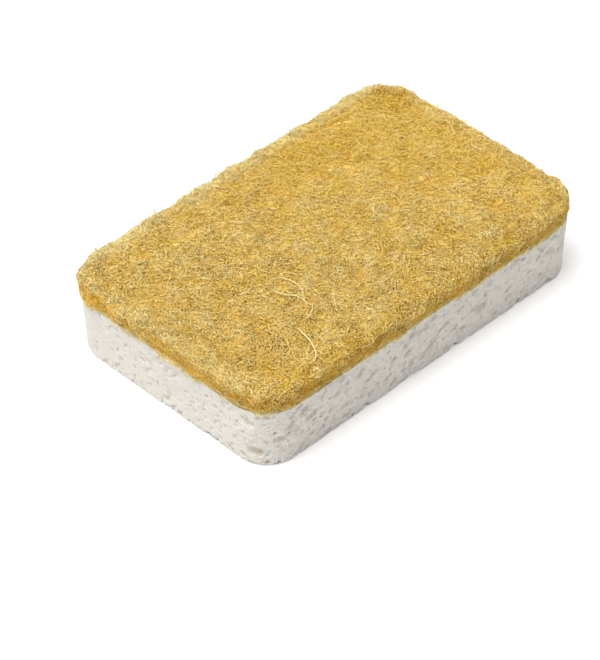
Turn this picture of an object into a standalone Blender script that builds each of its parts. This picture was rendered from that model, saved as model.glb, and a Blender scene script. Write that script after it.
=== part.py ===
"""A dish sponge: a block of open-pored cellulose with a mat of plant fibre glued to its top.

+X runs along the length and +Z is up. The origin is the middle of the underside. Sizes are in metres.
"""

import itertools
import math
import random

import bmesh
import bpy
from mathutils import Matrix, Vector

# Cellulose block, measured at its glued top face
LENGTH = 0.109
WIDTH = 0.069
BLOCK_HEIGHT = 0.017
CORNER_RADIUS = 0.0095
WALL_LEAN = 0.0008  # each wall stands in by this much at the underside
CORNER_SEGMENTS = 7

# Fibre mat
MAT_THICKNESS = 0.0052
MAT_OVERHANG = 0.0005  # the mat stands proud of the block all round
MAT_CORNER_RADIUS = 0.011
MAT_EDGE_ROUNDING = 0.0013
MAT_EDGE_SEGMENTS = 2
GLUE_LINE = 0.0003  # the thin film of glue between block and mat
RELIEF_CELL = 0.0021  # spacing of the points that carry the tufts
RIM_TUFTS = 0.5  # how much higher the tufts are on the mat's edge than on its top
FOOT_FRAY = 0.5  # height of the tufts along the mat's lower edge against those on its top

# Tufts of the mat at two scales: the cell from one tuft to the next, their height, and the seed
TUFTS = (
    (0.0052, 0.00055, 31),
    (0.0023, 0.00034, 32),
)

# The whole-number hash behind the tufts. It adds up a place's coordinates and the seed, each times its own
# factor, and then mixes the high bits of the sum into its low ones.
AXIS_FACTORS = (374761393, 668265263, 2246822519)
SEED_FACTOR = 144269
MIXING_FACTOR = 1274126177
FIRST_SHIFT = 13
SECOND_SHIFT = 16
WORD = 2**32

# Pores in the block: half-ellipsoids that the cut faces leave open
PORE_SEED = 11
WALL_PORES = 70
RIM_PORES = 26
UNDERSIDE_PORES = 46
PORE_SHORTEST = 0.0014
PORE_LONGEST = 0.0042
PORE_BREADTH = 0.58  # breadth as a share of length
PORE_DEPTH = 0.42  # depth as a share of length
PORE_PROUD = 0.08  # a pore is centred this share of its length outside the face
PORE_SLANT = math.radians(24)  # the foam rose at this slant, so wall pores lean with it
SLANT_SPREAD = math.radians(28)
PORE_WALL = 0.0004  # least sponge left between two pores
RIM_PORE_HEIGHT = 0.0004  # rim pores are centred this far above the underside
SEAM_CLEARANCE = 0.0012  # least sponge left between a drawn wall pore and the glued face
CALM_LONGEST = 0.0018  # the short left wall was cut through fine foam, with no larger drawn pore
CALM_FACING = -0.7  # a wall whose outward X is below this is that wall
REST_CLEARANCE = 0.007  # the middle of the underside is left whole, as the face the sponge rests on
PORE_DRAWS = 4000
PORE_SIDES = 8  # each pore is a turned ball of this many sides
PORE_RINGS = 4

# Pores that stand out on the two walls that meet at the front left corner, each with its distance round
# the wall from that corner, height, length and slant in degrees. A distance is positive along the long
# front wall and negative along the short left one.
MARKED_PORES = (
    (-0.0540, 0.0010, 0.0024, 0),
    (-0.0325, 0.0026, 0.0032, 10),
    (-0.0185, 0.0005, 0.0026, 0),
    (-0.0065, 0.0018, 0.0026, 0),
    (-0.0047, 0.0132, 0.0042, -18),
    (-0.0027, 0.0042, 0.0052, 0),
    (0.0033, 0.0080, 0.0040, 5),
    (0.0065, 0.0112, 0.0042, 42),
    (0.0108, 0.0134, 0.0042, 38),
    (0.0242, 0.0024, 0.0022, 20),
    (0.0410, 0.0025, 0.0030, 25),
    (0.0458, 0.0092, 0.0034, 25),
    (0.0470, 0.0002, 0.0032, 15),
    (0.0472, 0.0140, 0.0032, 25),
    (0.0532, 0.0058, 0.0038, 30),
    (0.0530, 0.0018, 0.0018, 0),
    (0.0615, 0.0068, 0.0030, 25),
    (0.0665, 0.0002, 0.0026, 10),
    (0.0715, 0.0075, 0.0042, 30),
    (0.0768, 0.0028, 0.0018, 25),
    (0.0810, 0.0076, 0.0032, 25),
    (0.0920, 0.0130, 0.0034, 45),
)

CELLULOSE_COLOUR = (0.80, 0.785, 0.75)
CELLULOSE_ROUGHNESS = 0.9
FIBRE_COLOUR = (0.62, 0.40, 0.10)
FIBRE_ROUGHNESS = 0.95
SMOOTHED_BELOW = math.radians(35)  # edges that turn by more than this are shaded sharp
SAME_PLACE = 1e-6  # points nearer than this count as level or as one above the other
FACING = 0.99  # a face counts as facing a direction from this cosine on


def clear_scene():
    """Removes whatever the scene starts with."""
    for obj in list(bpy.data.objects):
        bpy.data.objects.remove(obj)


def new_collection(name):
    """A collection linked to the scene."""
    collection = bpy.data.collections.new(name)
    bpy.context.scene.collection.children.link(collection)
    return collection


def matte_material(name, colour, roughness):
    """A plain Principled material of the piece's own colour."""
    material = bpy.data.materials.new(name)
    material.use_nodes = True
    shader = material.node_tree.nodes["Principled BSDF"]
    shader.inputs["Base Color"].default_value = (*colour, 1.0)
    shader.inputs["Roughness"].default_value = roughness
    shader.inputs["Metallic"].default_value = 0.0
    return material


def object_from(bm, name, collection, material=None):
    """Turns a bmesh into a smooth-shaded object of the collection."""
    mesh = bpy.data.meshes.new(name)
    bm.to_mesh(mesh)
    bm.free()
    mesh.shade_smooth()
    mesh.set_sharp_from_angle(angle=SMOOTHED_BELOW)
    if material:
        mesh.materials.append(material)
    obj = bpy.data.objects.new(name, mesh)
    collection.objects.link(obj)
    return obj


def upright_edges(bm):
    """The edges that stand along Z."""
    return [e for e in bm.edges if (e.verts[0].co - e.verts[1].co).xy.length < SAME_PLACE]


def rounded_slab(length, width, radius, low, high):
    """A box from height low to height high whose four upright edges are rounded."""
    bm = bmesh.new()
    bmesh.ops.create_cube(bm, size=1.0)
    bmesh.ops.scale(bm, vec=(length, width, high - low), verts=bm.verts)
    bmesh.ops.translate(bm, vec=(0, 0, (low + high) / 2), verts=bm.verts)
    bmesh.ops.bevel(
        bm,
        geom=upright_edges(bm),
        offset=radius,
        offset_type="OFFSET",
        segments=CORNER_SEGMENTS,
        profile=0.5,
        affect="EDGES",
    )
    return bm


def rim_edges(bm, height):
    """The edges of the horizontal face at this height."""
    return [e for e in bm.edges if all(abs(v.co.z - height) < SAME_PLACE for v in e.verts)]


def wall_place(distance):
    """(point, outward direction) on the block's top outline, at a distance round it from the front corner.

    The outline is walked as straight runs and quarter arcs, starting halfway round the front left arc.
    """
    r = CORNER_RADIUS
    quarter = math.pi * r / 2
    runs = (LENGTH - 2 * r, WIDTH - 2 * r)
    total = 2 * sum(runs) + 4 * quarter
    left = (distance + quarter / 2) % total
    centre = Vector((-LENGTH / 2 + r, -WIDTH / 2 + r))
    heading = 0.0
    for side in range(4):
        out = Vector((math.sin(heading), -math.cos(heading)))
        ahead = Vector((math.cos(heading), math.sin(heading)))
        if left <= quarter:
            turn = heading - math.pi / 2 + left / r
            round_out = Vector((math.sin(turn), -math.cos(turn)))
            return centre + round_out * r, round_out
        left -= quarter
        run = runs[side % 2]
        if left <= run:
            return centre + out * r + ahead * left, out
        left -= run
        centre += ahead * run
        heading += math.pi / 2
    return centre, Vector((-1.0, 0.0))


def outline_length():
    """The length of the block's top outline."""
    straight = LENGTH + WIDTH - 4 * CORNER_RADIUS
    return 2 * straight + 2 * math.pi * CORNER_RADIUS


class Pore:
    """An ellipsoid that opens on one face: its centre, its outward direction, its length and its slant."""

    def __init__(self, centre, outward, along, length, slant):
        self.centre = centre
        self.outward = outward.normalized()
        self.along = along.normalized()
        self.length = length
        self.slant = slant

    def clears(self, others):
        """True if a wall of sponge is left between this pore and each of the others."""
        return all(
            (self.centre - o.centre).length > (self.length + o.length) / 2 + PORE_WALL
            for o in others
        )

    def matrix(self):
        """Carries a unit sphere to the pore: length along the slant, breadth across it, depth inwards."""
        across = self.outward.cross(self.along)
        turned = self.along * math.cos(self.slant) + across * math.sin(self.slant)
        third = self.outward.cross(turned)
        half = self.length / 2
        axes = Matrix((turned * half, third * half * PORE_BREADTH, self.outward * self.length * PORE_DEPTH))
        return Matrix.Translation(self.centre) @ axes.transposed().to_4x4()


def wall_pore(distance, height, length, slant):
    """A pore in the leaning side wall."""
    point, out = wall_place(distance)
    lean = WALL_LEAN * (1 - height / BLOCK_HEIGHT)
    centre = point - out * (lean - length * PORE_PROUD)
    along = Vector((-out.y, out.x, 0.0))
    return Pore(Vector((*centre, height)), Vector((*out, 0.0)), along, length, slant)


def drawn_length(draw):
    """A pore's length: most are near the shortest, and few are near the longest."""
    return PORE_SHORTEST + (PORE_LONGEST - PORE_SHORTEST) * draw.random() ** 2


def drawn_slant(draw):
    """A slant near that of the foam."""
    return PORE_SLANT + draw.uniform(-SLANT_SPREAD, SLANT_SPREAD)


def drawn_wall_pore(draw):
    """A pore anywhere on the side walls, clear of the glued face."""
    length = drawn_length(draw)
    distance = draw.uniform(0, outline_length())
    height = draw.uniform(length / 2, BLOCK_HEIGHT - SEAM_CLEARANCE - length / 2)
    pore = wall_pore(distance, height, length, drawn_slant(draw))
    if pore.outward.x < CALM_FACING and length > CALM_LONGEST:
        return None
    return pore


def drawn_rim_pore(draw):
    """A pore that the lower edge cuts through, which leaves that edge ragged."""
    length = drawn_length(draw)
    return wall_pore(draw.uniform(0, outline_length()), RIM_PORE_HEIGHT, length, drawn_slant(draw))


def drawn_underside_pore(draw):
    """A pore in the underside, away from its edges and from the middle that the sponge rests on."""
    length = drawn_length(draw)
    margin = CORNER_RADIUS / 2 + length
    x = draw.uniform(-1, 1) * (LENGTH / 2 - margin)
    y = draw.uniform(-1, 1) * (WIDTH / 2 - margin)
    if math.hypot(x, y) < REST_CLEARANCE:
        return None
    centre = Vector((x, y, -length * PORE_PROUD))
    return Pore(centre, Vector((0, 0, -1)), Vector((1, 0, 0)), length, draw.uniform(0, math.pi))


def drawn_pores():
    """Every pore of the block, none touching another."""
    pores = [
        wall_pore(distance, height, length, math.radians(slant))
        for distance, height, length, slant in MARKED_PORES
    ]
    draw = random.Random(PORE_SEED)
    kinds = (
        (drawn_rim_pore, RIM_PORES),
        (drawn_wall_pore, WALL_PORES),
        (drawn_underside_pore, UNDERSIDE_PORES),
    )
    for make, wanted in kinds:
        made = 0
        for _ in range(PORE_DRAWS):
            if made == wanted:
                break
            pore = make(draw)
            if pore and pore.clears(pores):
                pores.append(pore)
                made += 1
    return pores


def pore_cutter(collection):
    """One helper mesh that holds a stretched sphere for each pore."""
    bm = bmesh.new()
    for index, pore in enumerate(drawn_pores()):
        spin = Matrix.Rotation(index, 4, "Z")
        bmesh.ops.create_uvsphere(
            bm,
            u_segments=PORE_SIDES,
            v_segments=PORE_RINGS,
            radius=1.0,
            matrix=pore.matrix() @ spin,
        )
    bmesh.ops.recalc_face_normals(bm, faces=bm.faces)
    cutter = object_from(bm, "pore_cutter", collection)
    cutter.hide_render = True
    cutter.display_type = "WIRE"
    return cutter


def build_cellulose_block(collection, helpers):
    """The cellulose block, with leaning walls and open pores."""
    bm = rounded_slab(LENGTH, WIDTH, CORNER_RADIUS, 0.0, BLOCK_HEIGHT)
    foot = [v for v in bm.verts if v.co.z < BLOCK_HEIGHT / 2]
    narrowed = (1 - 2 * WALL_LEAN / LENGTH, 1 - 2 * WALL_LEAN / WIDTH, 1)
    bmesh.ops.scale(bm, vec=narrowed, verts=foot)
    material = matte_material("cellulose", CELLULOSE_COLOUR, CELLULOSE_ROUGHNESS)
    block = object_from(bm, "cellulose_sponge", collection, material)
    cut = block.modifiers.new("open_pores", "BOOLEAN")
    cut.operation = "DIFFERENCE"
    cut.object = pore_cutter(helpers)
    return block


def cell_planes(extent):
    """Places along one axis that divide this extent into even cells of about RELIEF_CELL."""
    count = max(2, round(extent / RELIEF_CELL))
    return [extent * (i / count - 0.5) for i in range(1, count)]


def divide_into_cells(bm, length, width):
    """Cuts the slab by upright planes, so that its faces can carry relief."""
    for axis, extent in ((0, length), (1, width)):
        normal = Vector((0, 0, 0))
        normal[axis] = 1.0
        for place in cell_planes(extent):
            everything = bm.verts[:] + bm.edges[:] + bm.faces[:]
            bmesh.ops.bisect_plane(
                bm,
                geom=everything,
                dist=SAME_PLACE,
                plane_co=normal * place,
                plane_no=normal,
            )


def lattice(place, seed):
    """A repeatable number from 0 to 1 for a whole point."""
    mixed = (sum(f * c for f, c in zip(AXIS_FACTORS, place)) + SEED_FACTOR * seed) % WORD
    mixed = (mixed ^ (mixed >> FIRST_SHIFT)) * MIXING_FACTOR % WORD
    return (mixed ^ (mixed >> SECOND_SHIFT)) / WORD


def soft_noise(point, cell, seed):
    """Smooth noise from -1 to 1: the numbers at the eight corners of a cell, blended by t * t * (3 - 2 * t)."""
    base = [math.floor(c / cell) for c in point]
    blend = [c / cell - b for c, b in zip(point, base)]
    blend = [t * t * (3 - 2 * t) for t in blend]
    total = 0.0
    for corner in itertools.product((0, 1), repeat=3):
        share = math.prod(t if step else 1 - t for t, step in zip(blend, corner))
        total += share * lattice([b + step for b, step in zip(base, corner)], seed)
    return 2 * total - 1


def tuft_relief(point):
    """How far the mat's surface rises at a point."""
    return sum(height * soft_noise(point, cell, seed) for cell, height, seed in TUFTS)


def outward(point, length, width):
    """The level direction out of the mat at a point near its edge."""
    past_x = max(0.0, abs(point.x) - length / 2 + MAT_CORNER_RADIUS)
    past_y = max(0.0, abs(point.y) - width / 2 + MAT_CORNER_RADIUS)
    return Vector((math.copysign(past_x, point.x), math.copysign(past_y, point.y), 0.0)).normalized()


def ruffle(bm, low, high, length, width):
    """Raises tufts on the mat's top and frays its cut edge. The glued face stays flat."""
    for vert in bm.verts:
        point = vert.co.copy()
        relief = tuft_relief(point)
        out = outward(point, length, width)
        if point.z < low + SAME_PLACE:
            vert.co += out * relief * FOOT_FRAY
        else:
            rounded = (high - point.z) / MAT_EDGE_ROUNDING
            rise = Vector((0, 0, 1 - rounded)) + out * rounded
            vert.co += rise.normalized() * relief * (1 + RIM_TUFTS * rounded)


def build_scouring_pad(collection):
    """The mat of plant fibre: a rounded slab with a tufted top and a frayed edge."""
    length = LENGTH + 2 * MAT_OVERHANG
    width = WIDTH + 2 * MAT_OVERHANG
    low = BLOCK_HEIGHT + GLUE_LINE
    high = low + MAT_THICKNESS
    bm = rounded_slab(length, width, MAT_CORNER_RADIUS, low, high)
    bmesh.ops.bevel(
        bm,
        geom=rim_edges(bm, high),
        offset=MAT_EDGE_ROUNDING,
        offset_type="OFFSET",
        segments=MAT_EDGE_SEGMENTS,
        profile=0.5,
        affect="EDGES",
    )
    divide_into_cells(bm, length, width)
    glued = [f for f in bm.faces if f.normal.z < -FACING]
    bmesh.ops.dissolve_faces(bm, faces=glued)
    ruffle(bm, low, high, length, width)
    material = matte_material("plant_fibre", FIBRE_COLOUR, FIBRE_ROUGHNESS)
    return object_from(bm, "scouring_pad", collection, material)


def main():
    clear_scene()
    sponge = new_collection("dish_sponge")
    helpers = new_collection("cutters")
    build_cellulose_block(sponge, helpers)
    build_scouring_pad(sponge)


main()
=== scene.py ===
"""Looks of a dish sponge: a block of cellulose foam under a felted mat of plant fibre.

It is run as a script in Blender. Sizes are in metres, +X runs along the length and +Z is up.
"""

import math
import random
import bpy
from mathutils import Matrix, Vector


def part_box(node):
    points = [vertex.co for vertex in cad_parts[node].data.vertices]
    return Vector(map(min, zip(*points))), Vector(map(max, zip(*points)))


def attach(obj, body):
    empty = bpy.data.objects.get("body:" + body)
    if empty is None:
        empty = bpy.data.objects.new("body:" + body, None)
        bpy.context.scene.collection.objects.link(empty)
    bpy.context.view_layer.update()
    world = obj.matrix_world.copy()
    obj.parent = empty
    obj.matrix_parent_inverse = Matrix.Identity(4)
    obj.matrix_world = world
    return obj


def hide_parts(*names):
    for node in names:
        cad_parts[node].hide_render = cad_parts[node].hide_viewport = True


bl_info = {
    "name": "Dish sponge",
    "version": (1, 0, 0),
    "blender": (4, 5, 0),
    "location": "3D View > Sidebar > Sponge",
    "description": "Builds the foam block, the fibre mat and the stage of a dish sponge",
    "category": "Object",
}

import bpy
import numpy as np
from bpy.props import FloatProperty, FloatVectorProperty, IntProperty, PointerProperty
from mathutils import Matrix, Vector

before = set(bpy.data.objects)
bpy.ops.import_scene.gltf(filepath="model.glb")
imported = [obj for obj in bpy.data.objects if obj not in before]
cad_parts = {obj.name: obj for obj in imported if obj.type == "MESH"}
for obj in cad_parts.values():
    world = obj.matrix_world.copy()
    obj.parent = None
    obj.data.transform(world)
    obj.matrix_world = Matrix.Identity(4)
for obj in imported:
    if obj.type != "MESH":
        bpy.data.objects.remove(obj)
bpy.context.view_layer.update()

MM = 0.001

# The block's own box in the frame
BLOCK_LOW, BLOCK_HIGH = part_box("cellulose_sponge")
LENGTH = BLOCK_HIGH.x - BLOCK_LOW.x
WIDTH = BLOCK_HIGH.y - BLOCK_LOW.y
SEAM = BLOCK_HIGH.z
CORNER_RADIUS = 9.5 * MM
WALL_LEAN = 0.8 * MM  # each wall stands in by this much at the underside
FOOT_ROUNDING = 0.5 * MM
FOOT_RINGS = 4

# Whole numbers that scramble a lattice point's coordinates and seed
LATTICE_FACTORS = (374761393, 668265263, 2246822519)
LATTICE_SEED_STEP = 144269
LATTICE_SCRAMBLE = 1274126177

# Meshes of the two bodies. The block's walls have twice as many stations round them as its underside.
BLOCK_CELL = 0.6 * MM
WALL_ROWS = 58
MAT_CELL = 0.8 * MM
MAT_SIDE_ROWS = 8
SEAM_RINGS = (1.5 * MM, 6.0 * MM)  # rings of the glued face, by their distance from its edge

# Pores of the block, drawn as in its solid
PORE_SEED = 11
WALL_PORES = 70
RIM_PORES = 26
UNDERSIDE_PORES = 46
PORE_SHORTEST = 1.4 * MM
PORE_LONGEST = 4.2 * MM
PORE_BREADTH = 0.58
PORE_DEPTH = 0.42
PORE_PROUD = 0.08
PORE_SLANT = math.radians(24)
SLANT_SPREAD = math.radians(28)
PORE_WALL = 0.4 * MM
RIM_PORE_HEIGHT = 0.4 * MM
SEAM_CLEARANCE = 1.2 * MM
CALM_LONGEST = 1.8 * MM
CALM_FACING = -0.7
REST_CLEARANCE = 7.0 * MM
PORE_DRAWS = 4000
PORE_REACH = 0.75  # no point of a pore lies farther from its centre than this share of its length

# Pores that stand out near the front left corner: distance round the wall from the middle of that corner,
# height and length in mm, and slant in degrees. A distance is positive along the long front wall.
MARKED_PORES = (
    (-54.0, 1.0, 2.4, 0),
    (-32.5, 2.6, 3.2, 10),
    (-18.5, 0.5, 2.6, 0),
    (-6.5, 1.8, 2.6, 0),
    (-4.7, 13.2, 4.2, -18),
    (-2.7, 4.2, 5.2, 0),
    (3.3, 8.0, 4.0, 5),
    (6.5, 11.2, 4.2, 42),
    (10.8, 13.4, 4.2, 38),
    (24.2, 2.4, 2.2, 20),
    (41.0, 2.5, 3.0, 25),
    (45.8, 9.2, 3.4, 25),
    (47.0, 0.2, 3.2, 15),
    (47.2, 14.0, 3.2, 25),
    (53.2, 5.8, 3.8, 30),
    (53.0, 1.8, 1.8, 0),
    (61.5, 6.8, 3.0, 25),
    (66.5, 0.2, 2.6, 10),
    (71.5, 7.5, 4.2, 30),
    (76.8, 2.8, 1.8, 25),
    (81.0, 7.6, 3.2, 25),
    (92.0, 13.0, 3.4, 45),
)

# Cells of the cut surface, coarse and fine: seed, length along the slant, breadth, and depth of a dent
SURFACE_CELLS = (
    (41, 3.4 * MM, 2.0 * MM, 0.75 * MM),
    (47, 1.5 * MM, 1.0 * MM, 0.32 * MM),
)
DENT_SMALLEST = 0.15  # radius of the smallest dents against their cell
DENT_SPREAD = 0.38
CALM_SHARE = 0.85  # depth of the dents on the calm left wall against the others
CALM_TURN = 0.9  # the calm fades where a wall's outward direction leans left by less than this
CALM_FADE = 0.4  # and is gone where it leans left by so much less
RAGGED_FOOT = 1.8 * MM  # below this height the dents are deeper, so the lower edge is ragged
RAGGED_DEPTH = 2.0
SHALLOWER_SHARE = 0.4  # how much the shallower of a pore and a cell adds where they meet
SEALED_STRIP = 0.8 * MM  # next to the glued face the cells and the swell fade away over this height
LEVEL = 0.99  # height of the outward direction past which a face is level, and past which it isn't a wall
SLOPE = 0.5
SWELL_CELL = 5 * MM
SWELL_SEED = 1

# Fibre mat
MAT_OVERHANG = 0.5 * MM
MAT_CORNER = 11.0 * MM
MAT_TOP = SEAM + 5.5 * MM
MAT_ROUNDING = 1.3 * MM
MAT_LENGTH = LENGTH + 2 * MAT_OVERHANG
MAT_WIDTH = WIDTH + 2 * MAT_OVERHANG
EDGE_RINGS = 6
MAT_FOOT_GAP = 0.05 * MM  # the mat's body ends this far above the block
CORE_SINK = 0.4 * MM  # the body lies this far below the fibres' level
SIDE_SINK = 0.5  # share of that sink on the mat's side
RIM_TUFTS = 0.5  # how much higher the tufts are on the mat's edge and side
TUFT_CELL = 5.2 * MM
TUFT_HEIGHT = 0.55 * MM
FINE_TUFT_CELL = 2.3 * MM
FINE_TUFT_HEIGHT = 0.34 * MM
GRAIN_CELL = 1.1 * MM
GRAIN_HEIGHT = 0.16 * MM
TUFT_SEED = 31
FINE_TUFT_SEED = 32
GRAIN_SEED = 33

# Fibres
SEAM_START = 0.1 * MM  # how far below the seam the fibres' lower limit lies on average
SEAM_WANDER = 0.6 * MM  # how far that limit wanders up and down
SEAM_CELL = 2.5 * MM
SEAM_SEED = 61
SEAM_FRINGE = 0.45 * MM  # how far a fibre hangs below the limit, on average
SEAM_TUCK = 0.35 * MM  # how far the mat's side draws in where it meets the block
SEAM_TUCK_HEIGHT = 1.6 * MM
FIBRE_SEED = 5
FIBRE_POINTS = 4
FIBRE_SIDES = 3
FIBRE_BOW = 0.4 * MM
WAVE_SHARE = 0.45  # how far a fibre waves against how far it bends
END_THINNING = 0.45

# Felted fibres: lengths and lowest level in mm, and tone. A gain is what the top piece adds to the deepest;
# the tone's gain is partly the fibres' own colour and partly painted shade in the depth.
FELT_SHORTEST = 1.4
FELT_LONGEST = 3.6
FELT_LONGEST_GAIN = 1.6
FELT_CURL = 1.6
FELT_LEVEL = -0.4
FELT_LEVEL_GAIN = 0.35
FELT_LEVEL_SPREAD = 0.35 * MM
FELT_TONE = 0.35
FELT_TONE_GAIN = 0.3
TONE_SPREAD = 0.12
CREST_LIGHT_TONE = 0.12  # how much paler a fibre is on a tuft's crest: painted light on the crests and painted shade in the hollows
LIFT_SHADE_TONE = 0.2  # how much paler it is where it lies highest in its piece: painted shade where it dips lower

# Fibres of the cut side: lengths in mm, levels, and tone
SIDE_SEED = FIBRE_SEED + 50
SIDE_SHORTEST = 1.5
SIDE_LONGEST = 4.5
SIDE_CURL = 1.0
SIDE_FLATNESS = (1.0, 0.5)  # curls along the side and up it
SIDE_LOW = SEAM - 0.8 * MM
SIDE_HIGH = MAT_TOP - 0.4 * MM
SIDE_LEVELS = (-0.35 * MM, 0.15 * MM)
SIDE_TONE = 0.5
SIDE_TONE_SPREAD = 0.4

# Loose fibres: lengths in mm, and how much longer, flatter and paler the threads on top are
LOOSE_SEED = FIBRE_SEED + 70
LOOSE_SHORTEST = 1.0
LOOSE_LONGEST = 3.4
LOOSE_CURL = 1.1
LOOSE_ROOT = 0.1 * MM  # how deep a loose fibre is rooted
LOOSE_RADII = (0.3, 0.5)  # thinnest and thickest, against the thinnest felted fibre's diameter
THREAD_LENGTH = 2.2
THREAD_RISE = 0.4
THREAD_TONE = 0.3
LOOSE_TONE = 0.3
SHADE_FADE_RISE = 1.3 * MM  # painted shade: a fibre's tone rises by 1 over this height, darker and warmer near the mat and paler at its lit tip
RIM_BAND = (-3.0 * MM, 1.0 * MM)  # from inside the flat top's edge to beyond it
LOOSE_RISE = 0.9  # spread of the rise in mm, before the next numbers scale it
RISE_LIMITS = (0.1, 1.8)
CLUMP_CELL = 2 * MM
CLUMP_SEED = 62
CLUMP_MEAN = 0.6
CLUMP_SWAY = 0.9
FAR_RISE = 1.3  # share of the rise in the mat's middle, how much it gains towards the far corner, and limits
FAR_RISE_GAIN = 1.2
FAR_RISE_LIMITS = (0.5, 1.7)

# Long fibres that stand out on the mat: thickness in mm, tone from 0, dark, to 1, pale, and the places in
# mm on the unrolled mat that each one passes through
STRAY_SEED = FIBRE_SEED + 90
STRAY_POINTS = 24
STRAY_LIFT = 0.8 * MM
STRAY_THINNING = 0.4
STRAY_FIBRES = (
    (
        0.32,
        1.00,
        ((-30.3, -20.4), (-31.0, -24.1), (-31.9, -27.0), (-33.3, -29.4), (-34.5, -30.8), (-36.0, -31.5)),
    ),
    (
        0.24,
        1.00,
        ((-24.7, -5.8), (-24.8, -7.9), (-24.3, -9.7), (-23.1, -11.9), (-22.4, -13.8), (-22.3, -16.2)),
    ),
    (0.20, 1.00, ((-22.3, -16.2), (-22.6, -17.9), (-25.5, -19.2), (-27.7, -19.1))),
    (
        0.24,
        1.00,
        ((-21.8, -3.3), (-20.5, -4.8), (-19.5, -6.7), (-19.6, -8.8), (-20.2, -11.3), (-22.1, -14.9)),
    ),
    (0.20, 1.00, ((-19.5, -3.3), (-18.0, -4.6), (-16.5, -6.9), (-16.3, -8.9), (-16.8, -10.7))),
    (0.20, 1.00, ((-24.9, -14.6), (-25.2, -17.6))),
    (0.20, 1.00, ((-28.9, -25.4), (-29.4, -28.4))),
    (0.20, 1.00, ((-13.9, 19.2), (-13.7, 16.7), (-11.7, 15.3), (-9.6, 14.3))),
    (0.20, 1.00, ((-19.3, 14.4), (-17.7, 13.9), (-16.1, 13.8), (-15.8, 12.4))),
    (0.15, 0.95, ((-45.5, -33.9), (-47.7, -33.6), (-50.4, -33.7))),
    (0.20, 1.00, ((51.9, 9.5), (50.3, 6.5), (49.2, 4.1), (47.9, 4.3))),
    (0.20, 1.00, ((38.6, -4.5), (37.4, -6.6), (36.2, -8.8))),
    (0.20, 0.00, ((-50.4, -19.2), (-47.4, -18.8), (-44.7, -19.0), (-42.2, -19.1))),
    (0.20, 0.00, ((-47.3, -7.4), (-48.1, -10.6), (-49.0, -13.2), (-50.4, -16.2))),
    (0.19, 0.00, ((2.7, -19.2), (-1.1, -20.6), (-4.1, -21.2), (-7.1, -21.8))),
    (0.19, 0.00, ((-5.8, -22.5), (-6.7, -24.7), (-7.5, -27.1))),
    (0.18, 0.05, ((-11.4, 25.4), (-9.3, 25.4), (-6.8, 25.6))),
)

# Colour and bump of the foam, with painted shade in its pits and in the hollows of its cells
FOAM_CELL = (0.9 * MM, 0.55 * MM, 0.55 * MM)
FOAM_GRAIN_CELL = 0.35 * MM
FOAM_BUMP = 0.22 * MM
GRAIN_SHARE = 0.6  # height of the grain against the cells' depth
PIT_WALLS = (0.1, 0.5)  # distances from a cell's middle at which its wall starts and ends
PIT_DEPTHS = (0.1, 1.5)  # depths, in mm, at which the painted shade deep in the pits starts and is full
# Strength of the painted shade in the hollows of the foam's cells
DENT_SHADE = 0.35
LEFT_ROUGHNESS = 0.6  # how rough the left wall is against the others
LEFT_BAND = (1 * MM, 7 * MM)  # the roughness rises over this distance from the left wall

# Bands of the mat: heights or distances at which a share of its colour starts and is full
LOW_BAND = (SEAM + 3 * MM, MAT_TOP + 0.3 * MM)
SEAM_BAND = (SEAM, SEAM + 1.6 * MM)
TOP_BAND = (MAT_TOP - 1 * MM, MAT_TOP)
CALM_BAND = (-30 * MM, 70 * MM)  # the sum of x and y
EDGE_LIGHT_BAND = (-6 * MM, -1 * MM)  # past an edge of the block: painted light, paler towards the back and end edges

# Painted shade in the small dark gaps between the fibres, where the mat is deep
GAP_CELL = 0.36 * MM
GAP_LEVELS = (0.54, 0.61)  # noise at which a gap starts, and at which it is darkest
GAP_SHADE = 0.95
CROWDING_CELL = 3 * MM
CROWDING = 0.3
CALM_GAPS = 0.8  # share of the gaps' painted shade that is lost where the mat is calm, and on its edges of painted light
EDGE_LIGHT_GAPS = 0.7
EDGE_LIGHT_END_GAPS = 0.35  # how far the short edges count as edges of painted light, for the gaps and for the tone
EDGE_LIGHT_END_TONE = 0.4

# Colour and bump of the mat's body. Strands are given by turn, length and breadth.
WEB_STRANDS = (
    (0.3, 1.5 * MM, 0.55 * MM),
    (1.3, 1.3 * MM, 0.5 * MM),
    (2.3, 1.7 * MM, 0.6 * MM),
    (0.9, 0.9 * MM, 0.4 * MM),
)
STRAND_BREADTH = 0.10
STRAND_CURVE = 0.6
WEB_TINT = 0.9
WEB_BUMP = 0.25 * MM
# Patches of the body's ground that take the gaps' painted shade
GROUND_CELL = 5 * MM
GROUND_LEVELS = (0.1, 0.45)
SIDE_TINT = 0.8
SEAM_TINT = 0.6
BODY_GAP_LOSS = 0.3  # how much fainter the gaps' painted shade is down the side

# Colour of the fibres
TONE_STOPS = (0.0, 0.3, 0.6, 0.9)  # tones of the darkest, the ochre, the gold and the palest fibres
PATCH_CELL = 6 * MM
PATCH_TONE = 0.5
# How much paler the top's back and end edges are: painted light, as if lit through the fibres
EDGE_LIGHT_TONE = 0.6
CALM_TONE = 0.24
STAIN = 0.85  # how far the fibres of the side take on its colour, less for clean, pale ones
CLEAN_LOSS = 0.7
CLEAN_TONES = (0.4, 0.9)
GAPLESS_TONES = (0.8, 1.0)  # pale threads lie over the gaps and take none of their painted shade
FIBRE_GAP_LOSS = 0.2

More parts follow.
